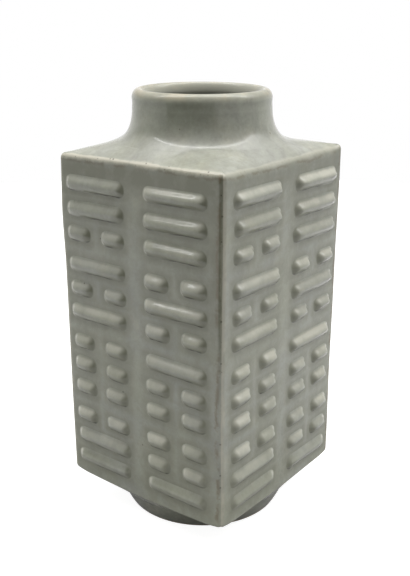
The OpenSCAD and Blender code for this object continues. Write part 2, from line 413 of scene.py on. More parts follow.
def arris_to_seat(loop, top_z, arris_r, seat_r, seat_z, sense, ramp_steps, end_slope=None, swell=0.0):
    """Rows from the mitre on the arris to the round seat: the arris goes on round from 45 degrees until it
    has the ramp's slope, then a cubic ramp runs in towards the axis and meets the seat circle at its end
    slope. On the way the plan's corners are averaged over the angle, so that they round off. swell is how
    much steeper the ramp starts at the corners. sense is 1 upwards, -1 downwards. Gives the rows and the
    directions of the last one."""
    points, normals = loop[:, 0:2], loop[:, 2:4]
    reach = np.hypot(points[:, 0], points[:, 1])
    mean = (sense * (seat_z - top_z) + 0.4 * arris_r) / (reach - 0.5 * arris_r - seat_r)
    last = 0.8 * mean if end_slope is None else end_slope
    corner = 1 - mid_side(np.arctan2(points[:, 1], points[:, 0]))
    start = np.clip(2 * mean - last, 0.85 * mean, 1.3 * mean) * (1 + swell * corner)
    start = np.minimum(start, 0.95)
    phi_end = 0.5 * math.pi - np.arctan(start)
    part = np.array([0, 0.06, 0.25, 0.5, 0.75, 1.0])[:, None]
    phi = math.radians(45) + part * (phi_end - math.radians(45))
    inset = arris_r * (1 - np.cos(phi))
    z = top_z - sense * arris_r * (1 - np.sin(phi))
    bend = offset_rows(points, normals, inset, z)
    edge = bend[-1]
    far = np.hypot(edge[:, 0], edge[:, 1])
    ray = edge[:, :2] / far[:, None]
    across = (ray * normals).sum(-1)
    run = far - seat_r
    s = (np.linspace(0, 1, ramp_steps + 1)[1:] ** 1.15)[:, None]
    h0 = 2 * s**3 - 3 * s**2 + 1
    h1 = s**3 - 2 * s**2 + s
    h2 = 3 * s**2 - 2 * s**3
    h3 = s**3 - s**2
    turn = np.arctan2(ray[:, 1], ray[:, 0])
    slight = turn_average(turn, run, 3.0)
    ample = turn_average(turn, run, 8.0)
    equal = 2 * math.pi * np.arange(len(turn)) / len(turn) - 0.75 * math.pi
    angle = turn + np.angle(np.exp(1j * (equal - turn))) * 0.4 * ease(s / 0.15)

    def there(value):
        """A value on the loop, interpolated in straight steps at the ramp's own angles."""
        return np.interp(angle, turn, value + 0 * turn, period=2 * math.pi)

    first = turn_average(turn, start * across * run, 4.0)
    rise = h1 * there(first) + h3 * there(last * run)
    ramp_z = h0 * there(edge[:, 2]) + h2 * there(seat_z) + sense * rise
    settle = ease(s / 0.12)
    plan = there(run) * (1 - settle) + there(slight) * settle
    plan = plan + (there(ample) - there(slight)) * ease(s / 0.9)
    radius = seat_r + (1 - s) * plan
    ramp = np.stack([radius * np.cos(angle), radius * np.sin(angle), ramp_z], -1)
    return np.concatenate([bend, ramp]), np.stack([np.cos(angle[-1]), np.sin(angle[-1])], -1)


def build_shoulder():
    """The top slab: from the mitre with the walls over the arris and up a low dome to the neck's seat, with
    an underside that rises to the mouth."""
    loop = body_loop()
    middle = mid_side(np.arctan2(loop[:, 1], loop[:, 0]))
    root_z, root_slope = neck_root()
    seat_w = NECK_SEAT_R - NECK_R
    slope = root_slope + middle * (2 * ROOT_DIP / seat_w + ROOT_FILL * FILL_STEEP / (seat_w - FILL_START))
    seat_z = root_z - ROOT_DIP * middle
    outer = arris_to_seat(loop, loop[:, 4], loop[:, 5], NECK_SEAT_R, seat_z, 1, 26, slope, DOME_SWELL)[0]
    square = loop[:, 8:10]
    spoke = square / np.linalg.norm(square, axis=1)[:, None]
    under = np.linspace(0, 1, len(outer) - BORE_ROWS)[:, None]
    radius = (1 - under) * np.linalg.norm(square, axis=1) + under * MOUTH_R
    z = CEILING_Z + 0.55 * (NECK_SEAT_Z - CEILING_Z) * under**2 + 0 * radius
    bore_z = np.linspace(z[-1, 0], NECK_SEAT_Z, BORE_ROWS + 1)[1:, None] + 0 * radius[:1]
    radius = np.concatenate([radius, 0 * bore_z + MOUTH_R])
    z = np.concatenate([z, bore_z])
    inner = np.stack([radius * spoke[:, 0], radius * spoke[:, 1], z], -1)
    path = path_up(outer)
    values = {"arris_mm": -path / MM, "worn": np.broadcast_to(loop[:, 10], path.shape)}
    return shell("shoulder", outer, inner, values, ring=True)


def build_base():
    """The bottom slab: a slightly hollow disc inside the foot, a ramp out to the lower arris and the mitre
    with the walls, with a dished floor inside."""
    loop = body_loop()
    skirt, ray = arris_to_seat(loop, loop[:, 6], loop[:, 7], FOOT_SEAT_R, FOOT_SEAT_Z, -1, 16)
    disc_r = np.linspace(1, 0, 13)[1:, None] * FOOT_SEAT_R
    disc_z = FOOT_SEAT_Z + DISC_HOLLOW * (1 - (disc_r / FOOT_SEAT_R) ** 2)
    disc = np.stack([disc_r * ray[:, 0], disc_r * ray[:, 1], disc_z + 0 * disc_r * ray[:, 0]], -1)
    outer = np.concatenate([skirt, disc])[::-1]
    square = loop[:, 8:10]
    share = np.linspace(0, 1, len(outer))[:, None]
    from_middle = (share[..., None] * square / INNER_HALF) ** 2
    dish = FLOOR_Z - BASE_DROP * (1 - from_middle[..., 0]) * (1 - from_middle[..., 1])
    inner = np.stack([share * square[:, 0], share * square[:, 1], dish], -1)
    return shell("base", outer, inner, ring=True, merge=True)


def mid_side(angle):
    """1 in the middle of each side, falling to nothing on the diagonals."""
    return np.abs(np.cos(2 * angle)) ** 1.5


def lathe(name, profile, sink=None, segments=224):
    """A closed profile of radius and height, anticlockwise, carried round the axis. sink says how far each
    of its points lies lower at mid side."""
    angle = np.linspace(0, 2 * math.pi, segments, endpoint=False)
    r, z = profile[:, :1], profile[:, 1:] + 0 * angle
    if sink is not None:
        z = z - sink[:, None] * mid_side(angle)
    points = np.stack([r * np.cos(angle), r * np.sin(angle), z], -1)
    quads = grid_quads(len(profile), segments, True, True)
    return make_piece(name, hand_wobble(points.reshape(-1, 3)), quads)


def arc_points(r0, z0, width, height, start, end, steps):
    """Points on an ellipse round (r0, z0), between two angles in degrees."""
    angle = np.radians(np.linspace(start, end, steps + 1))
    return np.stack([r0 + width * np.cos(angle), z0 + height * np.sin(angle)], -1)


def straight(r0, z0, r1, z1, steps):
    """Points on a straight run, without its two ends."""
    s = np.linspace(0, 1, steps + 1)[1:-1, None]
    return np.array([[r0, z0]]) * (1 - s) + np.array([[r1, z1]]) * s


def neck_root():
    """Height and slope of the neck's flare, a superellipse, where it reaches the radius of its seat."""
    power = NECK_FLARE_POWER
    across = 1 - (NECK_SEAT_R - NECK_R) / NECK_FLARE_W
    fall = (1 - across**power) ** (1 / power)
    slope = NECK_FLARE_H / NECK_FLARE_W * (across / fall) ** (power - 1)
    return NECK_TOP_OF_FLARE - NECK_FLARE_H * fall, slope


def build_neck():
    """The neck ring: a flare that is part of a superellipse, a plain wall with a slight waist, a lip of two
    quarter ellipses and the bore. At mid side the flare is filled out, so that it runs to the arris."""
    width = (NECK_SEAT_R - NECK_R) * np.linspace(1, 0, 40) ** 2.2
    across = 1 - width / NECK_FLARE_W
    fall = (1 - across**NECK_FLARE_POWER) ** (1 / NECK_FLARE_POWER)
    flare = np.stack([NECK_R + width, NECK_TOP_OF_FLARE - NECK_FLARE_H * fall], -1)
    crest_r = NECK_R - LIP_OUTER_W
    wall = straight(NECK_R, NECK_TOP_OF_FLARE, NECK_R, RIM_Z - LIP_OUTER_H, 8)
    wall[:, 0] -= NECK_WAIST * np.sin(np.linspace(0, math.pi, len(wall) + 2)[1:-1])
    lip = arc_points(crest_r, RIM_Z - LIP_OUTER_H, LIP_OUTER_W, LIP_OUTER_H, 0, 90, 18)
    inside = arc_points(crest_r, RIM_Z - LIP_INNER_H, crest_r - MOUTH_R, LIP_INNER_H, 90, 180, 18)[1:]
    bore = straight(MOUTH_R, RIM_Z - LIP_INNER_H, MOUTH_R, NECK_SEAT_Z, 14)
    seat = np.array([[MOUTH_R, NECK_SEAT_Z]])
    profile = np.concatenate([flare, wall, lip, inside, bore, seat])
    sink = np.zeros(len(profile))
    u = np.clip((width - FILL_START) / (width[0] - FILL_START), 0, 1)
    sink[: len(flare)] = ROOT_DIP * (width / width[0]) ** 2 - ROOT_FILL * FILL_STEEP * u**1.5 * (1 - u)
    return lathe("neck", profile, sink)


def build_foot_ring():
    """The foot ring: a narrow standing edge with rounded sides, and a wall that widens with a power of the
    height up to the seat under the base."""
    edge = FOOT_EDGE_R
    outer_edge = arc_points(FOOT_R - edge, edge, edge, edge, -90, 0, 6)
    s = np.linspace(0, 1, 20)[1:, None]
    flare = np.concatenate([
        FOOT_R + (FOOT_SEAT_R - FOOT_R) * s**FOOT_POWER,
        edge + (FOOT_SEAT_Z - edge) * s,
    ], -1)
    top = np.array([[FOOT_BORE_R, FOOT_SEAT_Z]])
    bore = straight(FOOT_BORE_R, FOOT_SEAT_Z, FOOT_BORE_R, edge, 8)
    inner_edge = arc_points(FOOT_BORE_R + edge, edge, edge, edge, 180, 270, 6)
    return lathe("foot_ring", np.concatenate([outer_edge, flare, top, bore, inner_edge]))


EDGE_S = np.array([-2.6, -1.9, -1.3, -0.8, -0.45, -0.2, 0.0, 0.2, 0.5, 0.9, 1.4, 2.0, 2.7, 3.5, 4.4]) * MM


def bar_axis(half, steps):
    """Positions across a bar, closest together at its two edges."""
    first = EDGE_S - half
    return np.concatenate([first, np.linspace(first[-1], -first[-1], steps + 1)[1:-1], -first[::-1]])


def lay_bars(k, name):
    """The bars of one trigram in their node's own place, each laid on by hand a little differently. A row
    gives the middle along and up the wall, half the length and width, the relief, the tilt, the crevice's
    depth and phase, and how strongly its upper side is painted pale, as thinner glaze and painted
    highlight."""
    low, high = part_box(SIDES[k] + "_trigram_" + name)
    along = side_axes(k)[1]
    ends = sorted([np.dot(along, low), np.dot(along, high)])
    pitch = (high.z - low.z - BAR_W) / 2
    long_l = ends[1] - ends[0]
    short_l = (long_l - BAR_GAP) / 2
    middle = (ends[0] + ends[1]) / 2
    bars = []
    for line, kind in enumerate(TRIGRAMS[name]):
        z = high.z - BAR_W / 2 - pitch * line
        shift = (long_l - short_l) / 2
        spots = [(middle, long_l)]
        if kind == "B":
            spots = [(middle - shift, short_l), (middle + shift, short_l)]
        for t, length in spots:
            move = rng.normal(0, 1, 5).clip(-2, 2)
            right = 0.5 + 0.5 * t / HALF
            up = (z - LOW_Z) / (HIGH_Z - LOW_Z)
            top, bottom = STRAY_UP[k].reshape(2, 2) @ (1 - right, right)
            stray = (top * up + bottom * (1 - up)) * MM
            flat = FLAT_TOP_LEFT[k] * up**2 * (1 - right)
            flat = flat + FLAT_LOW * math.exp(-((up / FLAT_LOW_SHARE) ** 2))
            bars.append([
                t + VARY_ALONG * move[0],
                z + stray + VARY_UP * move[1],
                length / 2 + VARY_LENGTH * move[2],
                BAR_W / 2 - BAR_TRIM + VARY_WIDTH * move[4],
                (BAR_CREST + VARY_RELIEF * move[4]) * (1 - flat),
                VARY_TILT * move[3],
                rng.uniform(0.25, 1.0),
                rng.uniform(-2.2, 2.2),
                BAR_HIGHLIGHT[k] * max(1 - BAR_HIGHLIGHT_LOSS * flat, 0),
            ])
    return np.array(bars)


def pool_and_shade_mask(k, t, z):
    """How far glaze pools round the bars of wall k, with painted shade: a bell of the distance, 1 at a
    bar's foot. Bells also make a band of painted shade under the arris and, on the front wall, painted
    shade by the front corner, above."""
    bars = np.concatenate([BARS[k, name] for name in TRIGRAMS])
    past_end = np.maximum(np.abs(t[..., None] - bars[:, 0]) - bars[:, 2], 0)
    past_side = np.maximum(np.abs(z[..., None] - bars[:, 1]) - bars[:, 3], 0)
    nearest = np.hypot(past_end, past_side).min(-1)
    pool_and_shade = np.exp(-((nearest / POOL_AND_SHADE_W) ** 2))
    # Painted shade in a band under the upper arris
    from_band = (HIGH_Z - z - SHADE_BAND_AT) / SHADE_BAND_W
    pool_and_shade = np.maximum(pool_and_shade, SHADE_UNDER_ARRIS[k] * np.exp(-(from_band**2)))
    # Painted shade by the front corner of the front wall, up high
    if SIDES[k] == "front":
        by_corner = np.exp(-(((HALF - t) / SHADE_CORNER_W) ** 2))
        above = ease((z - SHADE_CORNER_Z) / SHADE_CORNER_H)
        pool_and_shade = np.maximum(pool_and_shade, SHADE_CORNER * by_corner * above)
    return pool_and_shade


def bar_grid(half_l, half_w, relief, crevice, phase, pale, thin_end):
    """One applied bar on a plane. q runs from 0 on its ridge to 1 at its edge, which draws in towards the
    ends. The height is a roof of q with a rounded ridge, which past its knee runs out in a parabola. Below,
    it goes over in places to a fuller profile that leaves a crevice. Half a cosine wave takes it down at
    both ends. Gives points as along, up and out, and masks. The upper side and a crescent at the highlight
    end are painted pale, thinner glaze with painted highlight. The lower side and the other end are painted
    darker, glaze pooling with painted shade, and a dark line in the crevice is painted shade."""
    x, y = np.meshgrid(bar_axis(half_l, 8 if half_l > 15 * MM else 3), bar_axis(half_w, 3))
    past_end = np.clip((np.abs(x) - half_l - BAR_END_FOOT) / BAR_END_REACH + 1, 0, 1)
    end = 0.5 + 0.5 * np.cos(math.pi * past_end)
    q = np.abs(y) / (half_w * (1 - BAR_END_TAPER * past_end**2))
    drop = math.hypot(1, BAR_RIDGE) - BAR_RIDGE
    knee_up = (math.hypot(1, BAR_RIDGE) - math.hypot(BAR_KNEE, BAR_RIDGE)) / drop
    run_out = 2 * knee_up * drop * math.hypot(BAR_KNEE, BAR_RIDGE) / BAR_KNEE
    roof = (math.hypot(1, BAR_RIDGE) - np.hypot(q, BAR_RIDGE)) / drop
    soft = knee_up * np.clip(1 - (q - BAR_KNEE) / run_out, 0, 1) ** 2
    roof = np.where(q < BAR_KNEE, roof, soft)
    full = (1 - np.clip(q, 0, 1) ** 2.2) ** 0.75
    below = ease((0.1 - y / half_w) / 0.8)
    patchy = np.clip(0.45 + 0.8 * np.cos(math.pi * x / half_l * 1.3 + phase), 0, 1)
    keen = crevice * patchy * np.clip((half_l - np.abs(x)) / (4 * MM), 0, 1)
    crown = end * (roof + (full - roof) * below * (0.2 + 0.8 * keen))
    # A dark line along the crevice: painted shade
    crevice_shade = np.clip(2.2 * below * keen, 0, 1) * np.exp(-(((q - CREVICE_AT) / CREVICE_W) ** 2))
    over = ease(0.3 + 0.9 * y / half_w)
    # Painted highlight with thinner glaze: the upper side, and a crescent at the highlight end
    thin = pale * end * over * np.clip((1.15 - q) / 0.35, 0, 1) * (0.7 + 0.3 * math.sin(2 * phase))
    crescent = np.exp(-(((past_end - 0.5) / 0.24) ** 2)) * np.clip((1.1 - q) / 0.3, 0, 1)
    at_thin_end = x * thin_end > 0
    thin = np.where(at_thin_end, np.maximum(thin, CRESCENT_HIGHLIGHT * crescent), thin)
    # Painted shade with glaze pooling: the lower side, and the end away from the highlight
    pooled_and_shaded = (1 - over) * np.clip((q - 0.2) / 0.8, 0, 1)
    pooled_and_shaded = np.where(at_thin_end, pooled_and_shaded, np.maximum(pooled_and_shaded, np.clip(1.8 * past_end, 0, 1)))
    points = np.stack([x, y, relief * crown - BAR_SINK], -1)
    return points, {"thin": thin, "pooled_and_shaded": pooled_and_shaded, "crevice_shade": crevice_shade}


def build_trigram(k, name):
    """Three lines of bars on wall k, each bar a closed slab with its back inside the wall."""
    out, along = side_axes(k)
    points, quads, values = [], [], {"thin": [], "pooled_and_shaded": [], "crevice_shade": []}
    first = 0
    for t, z, half_l, half_w, relief, tilt, crevice, phase, pale in BARS[k, name]:
        grid, masks = bar_grid(half_l, half_w, relief, crevice, phase, pale, HIGHLIGHT_END[k])
        x = grid[..., :1] - tilt * grid[..., 1:2] + t
        y = grid[..., 1:2] + tilt * grid[..., :1] + z
        plane = x * along + y * np.array([0, 0, 1])
        slab, faces = closed_slab(plane + (HALF + grid[..., 2:]) * out, plane + (HALF - BAR_ROOT) * out)
        points.append(slab)
        quads.append(faces + first)
        for key, mask in masks.items():
            values[key].append(np.concatenate([mask.ravel(), 0 * mask.ravel()]))
        first += len(slab)
    values = {key: np.concatenate(parts) for key, parts in values.items()}
    node = SIDES[k] + "_trigram_" + name
    return make_piece(node, hand_wobble(np.concatenate(points)), np.concatenate(quads), values, crease=75)


BARS = {(k, name): lay_bars(k, name) for k in range(4) for name in TRIGRAMS}


# Shader helpers


def paint(r, g, b):
    """A colour written as 0 to 255 screen values, turned to linear light."""
    c = np.array([r, g, b]) / 255
    linear = np.where(c <= 0.04045, c / 12.92, ((c + 0.055) / 1.055) ** 2.4)
    return (*[float(v) for v in linear], 1.0)


def add(tree, kind, inputs=None, **settings):
    """A node of that kind in the tree, with its settings and its input values or links."""
    made = tree.nodes.new(kind)
    for key, value in settings.items():
        setattr(made, key, value)
    for key, value in (inputs or {}).items():
        if isinstance(value, bpy.types.NodeSocket):
            tree.links.new(value, made.inputs[key])
        else:
            made.inputs[key].default_value = value
    return made


def calc(tree, operation, a, b=0.0):
    """The result of a Math node on two values."""
    return add(tree, "ShaderNodeMath", {0: a, 1: b}, operation=operation).outputs[0]


def vector_calc(tree, operation, a, b=(0, 0, 0), output="Vector"):
    """The result of a Vector Math node on two vectors."""
    return add(tree, "ShaderNodeVectorMath", {0: a, 1: b}, operation=operation).outputs[output]


def span(tree, value, low, high, to_low=0.0, to_high=1.0):
    """A value carried smoothly from one range to another, held at its ends."""
    inputs = {"Value": value, "From Min": low, "From Max": high, "To Min": to_low, "To Max": to_high}
    return add(tree, "ShaderNodeMapRange", inputs, interpolation_type="SMOOTHSTEP").outputs[0]


def blend_colour(tree, share, a, b, kind="MIX"):
    """Two colours mixed by a share."""
    inputs = {0: share, 6: a, 7: b}
    return add(tree, "ShaderNodeMix", inputs, data_type="RGBA", blend_type=kind).outputs[2]


def lay_over(tree, colour, mask, share, over):
    """A colour laid over another where a mask says so, by a share."""
    return blend_colour(tree, calc(tree, "MULTIPLY", mask, share), colour, over)


def noise(tree, where, scale, detail=2.0, rough=0.5, distort=0.0):
    """The value of a noise texture."""
    inputs = {"Vector": where, "Scale": scale, "Detail": detail, "Roughness": rough, "Distortion": distort}
    return add(tree, "ShaderNodeTexNoise", inputs).outputs["Fac"]


def start_group(name, inputs, outputs):
    """A shader node group with named sockets: its tree, and the nodes of its inputs and its outputs."""
    tree = bpy.data.node_groups.new(name, "ShaderNodeTree")
    for label, kind, value in inputs:
        socket = tree.interface.new_socket(label, in_out="INPUT", socket_type=kind)
        if value is not None:
            socket.default_value = value
    for label, kind in outputs:
        tree.interface.new_socket(label, in_out="OUTPUT", socket_type=kind)
    return tree, tree.nodes.new("NodeGroupInput"), tree.nodes.new("NodeGroupOutput")


VALUE = "NodeSocketFloat"
COLOUR = "NodeSocketColor"
PLACE = "NodeSocketVector"


def make_glaze_clouds():
    """Celadon in cloudy drifts and runs: a grey tone, a greener tone of thicker glaze and a warm tone of
    thinner glaze mixed by noises, some drawn out down the wall, with a soft mottle and a fine grain over
    all."""
    tree, use, give = start_group(
        "glaze_clouds",
        [
            ("Place", PLACE, None),
            ("Grey", COLOUR, paint(162, 164, 153)),
            ("Green", COLOUR, paint(158, 160, 143)),
            ("Warm", COLOUR, paint(178, 174, 157)),
            ("Grain", VALUE, 0.045),
        ],
        [("Color", COLOUR), ("Roughness", VALUE)],
    )
    place = use.outputs["Place"]
    runs = add(tree, "ShaderNodeMapping", {"Vector": place, "Scale": (1, 1, 0.25)}).outputs[0]
    drift = noise(tree, place, 17.0, 3.0, 0.55, 0.6)
    cloud = noise(tree, place, 60.0, 4.0, 0.65)
    streak = noise(tree, runs, 150.0, 3.0, 0.6)
    fine = noise(tree, place, 520.0, 3.0, 0.7)
    colour = blend_colour(tree, span(tree, drift, 0.36, 0.64), use.outputs["Grey"], use.outputs["Green"])
    colour = blend_colour(tree, span(tree, cloud, 0.50, 0.74, 0.0, 0.35), colour, use.outputs["Warm"])
    low = calc(tree, "SUBTRACT", 1.0, use.outputs["Grain"])
    high = calc(tree, "ADD", 1.0, use.outputs["Grain"])
    mottle = noise(tree, place, 95.0, 3.0, 0.6, 0.4)
    shades = ((fine, 0.3, low, high), (streak, 0.28, 0.95, 1.04), (mottle, 0.3, 0.91, 1.08))
    for value, start, least, most in shades:
        shade = span(tree, value, start, 1 - start, least, most)
        colour = blend_colour(tree, 1.0, colour, shade, "MULTIPLY")
    tree.links.new(colour, give.inputs["Color"])
    tree.links.new(span(tree, cloud, 0.3, 0.7, 0.10, 0.17), give.inputs["Roughness"])
    return tree


def make_iron_specks():
    """Small dark iron specks: the hearts of a few cells of a cell pattern."""
    tree, use, give = start_group(
        "iron_specks",
        [("Place", PLACE, None), ("Scale", VALUE, 130.0), ("Size", VALUE, 0.10), ("Share", VALUE, 0.10)],
        [("Mask", VALUE)],
    )
    size = use.outputs["Size"]
    where = {"Vector": use.outputs["Place"], "Scale": use.outputs["Scale"]}
    cells = add(tree, "ShaderNodeTexVoronoi", where)
    red = add(tree, "ShaderNodeSeparateColor", {"Color": cells.outputs["Color"]}).outputs[0]
    chosen = calc(tree, "LESS_THAN", red, use.outputs["Share"])
    dot = span(tree, cells.outputs["Distance"], calc(tree, "MULTIPLY", size, 0.5), size, 1.0, 0.0)
    tree.links.new(calc(tree, "MULTIPLY", dot, chosen), give.inputs["Mask"])
    return tree


def make_glaze_skin():
    """Height of the glaze surface: slow waves and a soft orange peel."""
    tree, use, give = start_group("glaze_skin", [("Place", PLACE, None)], [("Height", VALUE)])
    slow = noise(tree, use.outputs["Place"], 75.0, 2.0, 0.5)
    peel = noise(tree, use.outputs["Place"], 330.0, 2.0, 0.5)
    height = calc(tree, "ADD", calc(tree, "MULTIPLY", slow, 0.8), calc(tree, "MULTIPLY", peel, 0.2))
    tree.links.new(height, give.inputs["Height"])
    return tree


def make_edge_wear():
    """Where the glaze thins out at an arris: a pale crest, and by it a brown line that comes and goes."""
    tree, use, give = start_group(
        "edge_wear",
        [("Place", PLACE, None)]
        + [(label, VALUE, None) for label in ("Distance", "Crest Width", "Line At", "Line Width")],
        [("Crest", VALUE), ("Line", VALUE)],
    )
    place = use.outputs["Place"]
    ragged = calc(tree, "SUBTRACT", noise(tree, place, 260.0, 4.0, 0.7), 0.5)
    wave = calc(tree, "SUBTRACT", noise(tree, place, 75.0, 2.0, 0.5), 0.5)
    astray = calc(tree, "ADD", calc(tree, "MULTIPLY", ragged, 3.6), calc(tree, "MULTIPLY", wave, 4.0))
    off = calc(tree, "ADD", use.outputs["Distance"], astray)
    crest = span(tree, calc(tree, "ABSOLUTE", off), 0.0, use.outputs["Crest Width"], 1.0, 0.0)
    away = calc(tree, "ABSOLUTE", calc(tree, "SUBTRACT", off, use.outputs["Line At"]))
    line = span(tree, away, 0.0, use.outputs["Line Width"], 1.0, 0.0)
    comes = span(tree, noise(tree, place, 90.0, 3.0, 0.65), 0.38, 0.6)
    tree.links.new(crest, give.inputs["Crest"])
    tree.links.new(calc(tree, "MULTIPLY", line, comes), give.inputs["Line"])
    return tree


GROUPS = {
    "clouds": make_glaze_clouds(),
    "specks": make_iron_specks(),
    "skin": make_glaze_skin(),
    "wear": make_edge_wear(),
}
CREAM = paint(214, 209, 190)
BROWN = paint(122, 110, 88)
IRON = paint(74, 64, 52)
# Painted shade: the dark line in the bars' crevices
CREVICE_SHADE = paint(56, 54, 42)
# Glaze pooling and painted shade round the bars and on their lower sides
POOLED_AND_SHADE = paint(138, 139, 122)
# Thinner glaze and painted highlight on the bars; painted light high inside the mouth
THIN_AND_HIGHLIGHT = paint(202, 201, 186)
CLAY = paint(176, 160, 134)
LIP_BUFF = paint(186, 178, 155)
# Painted shade low inside the mouth
MOUTH_SHADE = paint(82, 84, 73)
COIL_GREY = paint(150, 148, 134)
NECK_TONE = {"Grey": paint(161, 163, 150), "Green": paint(158, 161, 145)}
SHOULDER_TONE = {"Grey": paint(168, 169, 159), "Green": paint(164, 165, 149)}
# A darker copy of the glaze for the foot and base: painted shade under the body
FOOT_SHADE_TONE = {"Grey": paint(138, 140, 129), "Green": paint(134, 136, 121)}

# Wear at an edge: its distance and sign, the crest's share and width, the line's share, place and width
WALL_WEAR = (
    ("end_mm", 1.0, 0.2, 1.0, 0.72, 2.7, 2.1),
    ("start_mm", 1.0, 0.5, 3.2, 0.15, 1.8, 0.9),
    ("arris_mm", 1.0, 0.8, 3.4, 0.45, 3.4, 1.4),
)
SHOULDER_WEAR = (("arris_mm", -1.0, 0.75, 2.4, 0.0, 2.0, 0.9),)
EDGE_DOTS = {"Scale": 420.0, "Size": 0.34, "Share": 0.3}
EDGE_DOT_SHARE = 0.55
ARRIS_DOT_SHARE = 0.7
SPECK_SHARE = 0.6
# Painted shade in the bars' crevices
CREVICE_SHADE_SHARE = 0.95
# Painted light high inside the mouth, and painted shade lower down
MOUTH_LIGHT_SHARE = 0.6
MOUTH_EDGE_W = 1.5 * MM
MOUTH_SHADE_FROM = 4.6 * MM
MOUTH_SHADE_FULL = 7.6 * MM
MOUTH_SHADE_SHARE = 0.85
LIP_BUFF_FROM = 6.5 * MM
LIP_BUFF_FULL = 2.5 * MM
NECK_TONE_H = 14 * MM
GLAZE_WAVES = 0.10 * MM
COIL_WAVES = 0.25 * MM


def use_group(tree, key, inputs):
    """One of the shared groups placed in a material."""
    return add(tree, "ShaderNodeGroup", inputs, node_tree=GROUPS[key])


def start_material(name):
    """An empty material with a Principled shader: its tree, the shader and the object coordinates."""
    material = bpy.data.materials.new(name)
    material.use_nodes = True
    tree = material.node_tree
    shader = next(n for n in tree.nodes if n.type == "BSDF_PRINCIPLED")
    shader.inputs["IOR"].default_value = 1.5
    place = add(tree, "ShaderNodeTexCoord").outputs["Object"]
    return material, tree, shader, place


def point_value(tree, name):
    """A value kept on the mesh's points."""
    kept = add(tree, "ShaderNodeAttribute", attribute_name=name, attribute_type="GEOMETRY")
    return kept.outputs["Fac"]


def join_shader(tree, shader, place, colour, rough, waves):
    """Gives the shader its colour, its roughness and the glaze's own fine waves, of that height."""
    skin = use_group(tree, "skin", {"Place": place})
    bump = add(tree, "ShaderNodeBump", {"Height": skin.outputs["Height"], "Distance": waves})
    tree.links.new(colour, shader.inputs["Base Color"])
    tree.links.new(rough, shader.inputs["Roughness"])
    tree.links.new(bump.outputs["Normal"], shader.inputs["Normal"])


